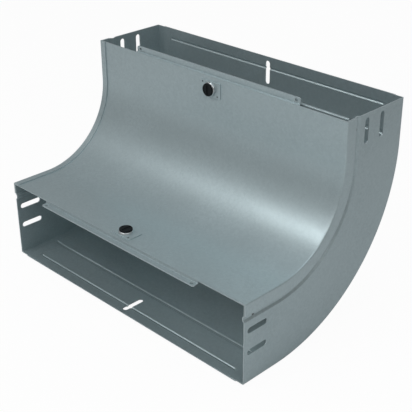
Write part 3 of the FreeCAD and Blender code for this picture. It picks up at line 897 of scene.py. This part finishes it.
class TRUNKING_OT_plates(bpy.types.Operator):
    """Latch plates spot-welded on the cover, and the spring clips under it"""

    bl_idname = "trunking.plates"
    bl_label = "Latch plates and clips"

    def execute(self, context):
        sizes = context.scene.trunking_latches
        mark = self.weld_mark(sizes)
        aside = [sizes.weld_across, -sizes.weld_along, 0]
        marks = [(mark - aside, False), (mark + aside, False)]
        latch_pair(
            "latch_plate", "pressed", self.plate(sizes),
            ["zinc_coated_cover", "burnt_weld_mark"], "galvanised_cover", cutters=marks)
        low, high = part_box("latch_clip_front")
        rim = ring((high.x - low.x) / 2, 8, 4)
        clip = washer(ring(sizes.neck_half + FIT_GAP, 8, 4), rim, low, high)
        latch_pair(
            "latch_clip", "stamped", clip, ["clear_zinc_plate"], "zinc_plated_steel",
            edge=sizes.small_edge)
        return {"FINISHED"}

    def weld_mark(self, sizes):
        """A shallow dish turned about its axis: nearly flat inside, with a slope at the rim."""
        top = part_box("latch_plate_front")[1].z
        radius, depth = sizes.weld_radius, sizes.weld_depth
        profile = [
            (0, top - depth * 7 / 6), (radius * 0.6, top - depth), (radius, top),
            (radius * 1.1, top + depth), (0, top + depth)]
        return turned(profile, 24)

    def plate(self, sizes):
        """Rounded rectangles from the square hole out, over the rim and back in underneath."""
        low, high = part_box("latch_plate_front")
        half_x, half_y = (high.x - low.x) / 2, (high.y - low.y) / 2
        hole = sizes.neck_half + FIT_GAP
        inner = plate_ring(hole, hole, corner=0.0002)
        levels = [(inner, low.z), (plate_ring(half_x, half_y, sizes.plate_corner), low.z)]
        for angle in np.linspace(0, np.pi / 2, 5):
            inset = sizes.plate_edge * (1 - math.cos(angle))
            drop = sizes.plate_edge * (1 - math.sin(angle))
            outline = plate_ring(
                half_x - inset, half_y - inset, sizes.plate_corner - inset)
            levels.append((outline, high.z - drop))
        levels += [(inner, high.z), (inner, low.z)]
        return stack_rings(*zip(*levels))


class TRUNKING_OT_collars(bpy.types.Operator):
    """Bright plated collars with a square neck, one round each cap"""

    bl_idname = "trunking.collars"
    bl_label = "Latch collars"

    def execute(self, context):
        sizes = context.scene.trunking_latches
        low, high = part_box("latch_collar_front")
        outer = (high.x - low.x) / 2
        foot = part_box("latch_plate_front")[1].z
        bore = ring(sizes.spindle_radius + FIT_GAP)
        neck = ring(sizes.neck_half, 72, 4)
        levels = [(bore, low.z), (neck, low.z), (neck, foot), (ring(outer), foot)]
        for radius, height in edge_arc(outer, high.z, sizes.collar_edge, 1):
            levels.append((ring(radius), height))
        levels += [(bore, high.z), (bore, low.z)]
        latch_pair(
            "latch_collar", "turned", stack_rings(*zip(*levels)), ["bright_nickel_plate"],
            "bright_plated_steel")
        return {"FINISHED"}


class TRUNKING_OT_caps(bpy.types.Operator):
    """Black moulded caps with a driver slot, which turn the latches"""

    bl_idname = "trunking.caps"
    bl_label = "Latch caps"

    def execute(self, context):
        sizes = context.scene.trunking_latches
        low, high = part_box("latch_cap_front")
        collar_low, collar_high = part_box("latch_collar_front")
        outer = (collar_high.x - collar_low.x) / 2 - sizes.cap_inset
        rim = edge_arc(outer, high.z, sizes.cap_edge, 1)
        dish, depth = outer - sizes.cap_rim, sizes.cap_dish
        slope = [
            (dish + depth, high.z), (dish, high.z - depth * 0.75),
            (dish - depth * 0.75, high.z - depth)]
        profile = [
            (0, low.z), (outer, low.z), *rim.tolist(), *slope, (0, high.z - depth)]
        slot = plate_ring(
            sizes.cap_slot_width / 2, sizes.cap_slot_length / 2, corner=0.0004)
        cutter = bar(slot, "z", high.z - sizes.cap_slot_depth, high.z + THROUGH)
        latch_pair(
            "latch_cap", "moulded", turned(profile, 80), ["satin_black_nylon"],
            "black_plastic", turns=True, cutters=[cutter])
        return {"FINISHED"}


class TRUNKING_OT_works(bpy.types.Operator):
    """Spindles, cams and nuts of the latches, inside the duct"""

    bl_idname = "trunking.works"
    bl_label = "Latch works"

    def execute(self, context):
        sizes = context.scene.trunking_latches
        parts = (
            ("latch_spindle", "machined", self.spindle(sizes)),
            ("latch_cam", "stamped", self.cam(sizes)), ("latch_nut", "hex", self.nut(sizes)))
        for node, word, points in parts:
            latch_pair(
                node, word, points, ["clear_zinc_plate"], "zinc_plated_steel", turns=True,
                edge=sizes.small_edge)
        return {"FINISHED"}

    def spindle(self, sizes):
        """Rings up the axis: stud, square for the cam, then the round shank to the cap."""
        low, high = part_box("latch_spindle_front")
        cam_low, cam_high = (corner.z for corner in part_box("latch_cam_front"))
        square = ring(sizes.cam_square - FIT_GAP, 72, 4)
        stud, shank = ring(sizes.stud_radius), ring(sizes.spindle_radius)
        point = ring(0)
        tip = sizes.stud_tip
        levels = [
            (point, low.z), (ring(sizes.stud_radius - tip), low.z), (stud, low.z + tip),
            (stud, cam_low), (square, cam_low), (square, cam_high), (shank, cam_high),
            (shank, high.z), (point, high.z)]
        return stack_rings(*zip(*levels))

    def cam(self, sizes):
        """A flat bar with round ends and a square hole in the middle."""
        low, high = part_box("latch_cam_front")
        half = (high.x - low.x) / 2
        run = (high.y - low.y) / 2 - half
        return washer(ring(sizes.cam_square, 72, 4), ring(half, run=run), low, high)

    def nut(self, sizes):
        """A hexagon whose corners are cut by a cone at both faces, with a round bore."""
        low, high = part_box("latch_nut_front")
        half = (high.y - low.y) / 2
        bore = ring(sizes.stud_radius + FIT_GAP)
        flat = ring(half, 72, 6, first=math.pi / 6)
        corner = half / math.cos(math.pi / 6)
        reach = np.linalg.norm(flat, axis=1, keepdims=True)
        crown = flat * np.minimum(1, corner * sizes.nut_crown / reach)
        cone = sizes.nut_chamfer
        rings = [bore, crown, flat, flat, crown, bore, bore]
        heights = [low.z, low.z, low.z + cone, high.z - cone, high.z, high.z, low.z]
        return stack_rings(rings, heights)


class TRUNKING_OT_keepers(bpy.types.Operator):
    """Folded keeper arms on the right wall and the rivets that hold them"""

    bl_idname = "trunking.keepers"
    bl_label = "Keepers and rivets"

    def execute(self, context):
        sheets = context.scene.trunking_sheets
        sizes = context.scene.trunking_latches
        slot = slot_outline(0, sizes.inset, sizes.keeper_slot_length, sizes.keeper_slot_width)
        for (end, move), side in zip(ENDS, (1, -1)):
            low, high = self.front_box(end)
            brow = sizes.keeper_brow if end == "top" else 0.0
            points, keep = self.arm(sizes, low, high, side, brow)
            cutter, flip = bar(slot, "z", high.z - THROUGH, high.z + THROUGH)
            name = "keeper_arm_%s_folded" % end
            mesh = make_mesh(name, move(points), flip=side < 0, keep=keep)
            piece = sheet_piece(mesh, sheets, "sheet", [(move(cutter), flip)])
            install(piece, "bend", "galvanised_sheet", "keeper_arm_" + end)
            self.rivet(end, sizes)
        return {"FINISHED"}

    def front_box(self, end):
        """The arm's box at the front mouth; the top one is turned back half a turn."""
        low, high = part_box("keeper_arm_" + end)
        if end == "front":
            return low, high
        corners = to_top([list(low), list(high)])
        return Vector(corners.min(0)), Vector(corners.max(0))

    def arm(self, sizes, low, high, side, brow):
        """A flat web that folds down into a tab at the wall and a lip at the rear.

        Travel along a fold of radius r goes straight, then as r times the sine and one minus
        the cosine of the travelled angle, then straight down. The corner where both folds
        meet is left out. A brow turns the front edge down the same way, backwards.
        """
        radius = sizes.keeper_fold
        wide, deep = high.x - low.x, high.y - low.y
        tab_out, tab_down = self.fold(wide - radius, radius, high.z - low.z - radius, 33)
        lip_out, lip_down = self.fold(
            deep - radius, radius, sizes.keeper_lip - radius, 17)
        if brow:
            angle = np.linspace(np.pi / 2, 0, 8)
            flat = lip_out > radius * 1.01
            lip_out = np.concatenate([[0], radius - radius * np.sin(angle), lip_out[flat]])
            lip_down = np.concatenate(
                [[brow], radius - radius * np.cos(angle), lip_down[flat]])
        x = (low.x + tab_out if side > 0 else high.x - tab_out)[:, None]
        y = low.y + lip_out
        z = high.z - tab_down[:, None] - lip_down
        x, y, z = np.broadcast_arrays(x, y, z)
        deepest = np.maximum(lip_down[1:], lip_down[:-1])
        folded = (tab_down[1:, None] > 0) & (deepest > 0)
        return np.stack([x, y, z], 2), ~folded

    def fold(self, straight, radius, down, steps):
        """How far out and how far down a folded strip has come at each step."""
        angle = np.linspace(0, np.pi / 2, 8)
        flat = np.linspace(0, straight, steps)[:-1]
        out = np.concatenate([flat, straight + radius * np.sin(angle), [straight + radius]])
        drop = np.concatenate([flat * 0, radius - radius * np.cos(angle), [radius + down]])
        return out, drop

    def rivet(self, end, sizes):
        """A hollow rivet turned about its own axis, with a domed head on the tab's side."""
        low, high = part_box("keeper_rivet_" + end)
        head = (high.z - low.z) / 2
        shank, bore = sizes.rivet_hole - FIT_GAP, sizes.rivet_bore
        dome = edge_arc(head, low.x, sizes.rivet_head * 0.75, -1)
        neck = low.x + sizes.rivet_head
        floor = neck + sizes.rivet_floor
        profile = [
            (0, low.x), *dome[::-1].tolist(), (head, neck), (shank, neck), (shank, high.x),
            (bore, high.x), (bore, floor), (0, floor)]
        centre = (low + high) / 2
        points = turned(profile, 48)[..., [2, 0, 1]] + [0, centre.y, centre.z]
        name = "keeper_rivet_%s_headed" % end
        piece = solid_piece(name, points, ["clear_zinc_plate"])
        install(piece, "bend", "zinc_plated_steel", "keeper_rivet_" + end)


# Lamps: name, place, side and power, and a tint for the one that is a little cool
LAMPS = (
    ("lamp_above", (0.056, 0.12, 1.709), 0.6, 4.1, (0.88, 1.0, 1.08)),
    ("lamp_front_left", (-0.196, -0.994, 1.241), 0.6, 3.1),
    ("lamp_front", (0.566, -0.86, 1.241), 0.6, 1.5),
    ("lamp_right", (1.063, -0.267, 1.241), 0.6, 2.5),
    ("lamp_behind", (-0.196, 1.234, 1.241), 0.6, 1.0),
    ("lamp_arc", (-0.599, -0.666, 1.368), 0.22, 2.15),
    ("lamp_arc_low", (-0.875, -0.633, 1.218), 0.22, 0.55))
LAMP_AIM = Vector((0, 0.12, 0.11))
FLOOR_CENTRE = np.array([0, 0.13, -0.0014])


class TRUNKING_OT_studio(bpy.types.Operator):
    """Pale floor, soft lamps, white surroundings and the camera"""

    bl_idname = "trunking.studio"
    bl_label = "Studio"

    def execute(self, context):
        self.floor(context)
        self.surroundings(context)
        for lamp in LAMPS:
            self.lamp(*lamp)
        self.camera(context)
        return {"FINISHED"}

    def floor(self, context):
        """A disc a hair under the beads: rings from the centre out, in one plane."""
        radii = np.array([0, 0.5, 1, 2, 4.0])
        rings = radii[:, None, None] * ring(1.0, 96)
        points = stack_rings(rings, radii * 0) + FLOOR_CENTRE
        mesh = make_mesh("studio_floor", points, close_columns=True)
        material, tree, place = blank_material("studio_floor")
        path = add(tree, "LightPath")
        tint = context.scene.trunking_colours.floor
        tone = blend(tree, noise(tree, place, 30.0, 2.0), times(tint, 1), times(tint, 0.99))
        paper = add(tree, "BsdfDiffuse", None, {"Color": tone})
        white = add(tree, "Emission", {"Strength": 1.0})
        seen = add(
            tree, "Math", {"operation": "MULTIPLY", 1: 0.96},
            {0: path.outputs["Is Camera Ray"]})
        show(tree, add(
            tree, "MixShader", None,
            {0: seen.outputs[0], 1: paper.outputs[0], 2: white.outputs[0]}))
        new_object(mesh, [material])

    def surroundings(self, context):
        """White to the camera, plain grey light for the object."""
        world = bpy.data.worlds.new("studio")
        context.scene.world = world
        world.use_nodes = True
        tree = world.node_tree
        tree.nodes.clear()
        add(tree, "OutputWorld")
        path = add(tree, "LightPath")
        plain = add(tree, "Background", {"Color": (1, 1, 1, 1), "Strength": 0.25})
        white = add(tree, "Background", {"Color": (1, 1, 1, 1), "Strength": 1.0})
        show(tree, add(
            tree, "MixShader", None,
            {0: path.outputs["Is Camera Ray"], 1: plain.outputs[0], 2: white.outputs[0]}))

    def lamp(self, name, place, size, power, tint=(1, 1, 1)):
        """A square area lamp that looks at the bend's middle."""
        light = bpy.data.lights.new(name, "AREA")
        light.color = tint
        light.size = size
        light.energy = power
        lamp = bpy.data.objects.new(name, light)
        lamp.location = place
        aim = LAMP_AIM - Vector(place)
        lamp.rotation_euler = aim.to_track_quat("-Z", "Y").to_euler()
        bpy.context.scene.collection.objects.link(lamp)

    def camera(self, context):
        """The photograph's view, solved from the duct's edges, arcs and slots."""
        data = bpy.data.cameras.new("camera")
        data.lens = 82.575
        data.sensor_width = 36.0
        data.clip_start = 0.01
        data.clip_end = 50.0
        camera = bpy.data.objects.new("camera", data)
        camera.location = (0.73987, -0.58744, 0.62478)
        camera.rotation_euler = (1.094722, 0.006436, 0.787688)
        context.scene.collection.objects.link(camera)
        context.scene.camera = camera


class TRUNKING_PT_panel(bpy.types.Panel):
    """Lists the bend's pieces"""

    bl_label = "Trunking bend"
    bl_idname = "TRUNKING_PT_panel"
    bl_space_type = "VIEW_3D"
    bl_region_type = "UI"
    bl_category = "Trunking"

    def draw(self, context):
        for operator in OPERATORS:
            self.layout.operator(operator.bl_idname)


OPERATORS = (
    TRUNKING_OT_base, TRUNKING_OT_walls, TRUNKING_OT_cover, TRUNKING_OT_rims,
    TRUNKING_OT_strips, TRUNKING_OT_plates, TRUNKING_OT_collars, TRUNKING_OT_caps,
    TRUNKING_OT_works, TRUNKING_OT_keepers, TRUNKING_OT_studio)
SETTINGS = {
    "trunking_sheets": TrunkingSheetSizes, "trunking_beads": TrunkingBeadSizes,
    "trunking_strips": TrunkingStripSizes, "trunking_latches": TrunkingLatchSizes,
    "trunking_colours": TrunkingColours}
CLASSES = (*SETTINGS.values(), *OPERATORS, TRUNKING_PT_panel)
add_classes, remove_classes = bpy.utils.register_classes_factory(CLASSES)


def register():
    add_classes()
    for name, group in SETTINGS.items():
        setattr(bpy.types.Scene, name, PointerProperty(type=group))


def unregister():
    for name in SETTINGS:
        delattr(bpy.types.Scene, name)
    remove_classes()


def main():
    """Build every piece in order."""
    register()
    bpy.context.scene.view_settings.view_transform = "Standard"
    for operator in OPERATORS:
        getattr(bpy.ops.trunking, operator.bl_idname.split(".")[1])()


if __name__ == "__main__":
    main()
